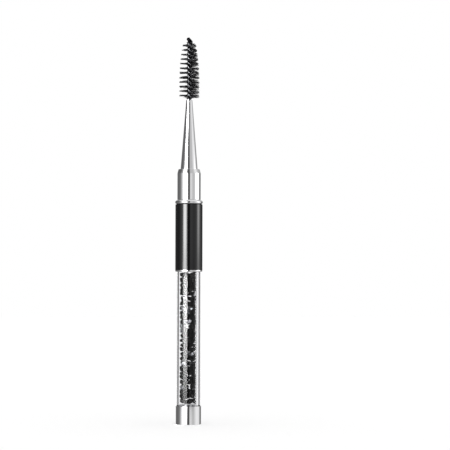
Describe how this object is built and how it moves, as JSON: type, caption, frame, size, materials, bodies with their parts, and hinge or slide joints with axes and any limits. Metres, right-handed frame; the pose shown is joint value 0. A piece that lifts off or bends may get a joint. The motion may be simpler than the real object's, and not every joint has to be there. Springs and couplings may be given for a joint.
{
  "type": "eyebrow brush",
  "caption": "Slim eyebrow brush pen with a twisted wire spoolie, chrome fittings, a black barrel and a clear tube of black crystals.",
  "frame": {"origin": "middle of the flat base of the end cap, on the pen's axis", "axes": "+Z along the pen's axis, from the end cap up to the brush head"},
  "size_m": [0.0098, 0.0098, 0.1347],
  "materials": {
    "chrome_plate": "polished",
    "satin_aluminium": "satin",
    "clear_acrylic": "clear and polished",
    "black_crystal": "faceted and polished",
    "black_lacquer": "high gloss",
    "white_plastic": "as moulded",
    "dark_wire": "dark drawn wire",
    "nylon_bristle": "satin filament"
  },
  "bodies": {
    "root": {"end_cap": "chrome_plate", "tube_plug": "satin_aluminium", "clear_tube": "clear_acrylic", "crystals": "black_crystal", "barrel_rim": "chrome_plate", "barrel": "black_lacquer", "connector": "white_plastic", "bead_ring": "chrome_plate", "cap_collar": "chrome_plate", "cone_ferrule": "chrome_plate", "twisted_wire": "dark_wire", "bristles": "nylon_bristle"}
  },
  "joints": []
}
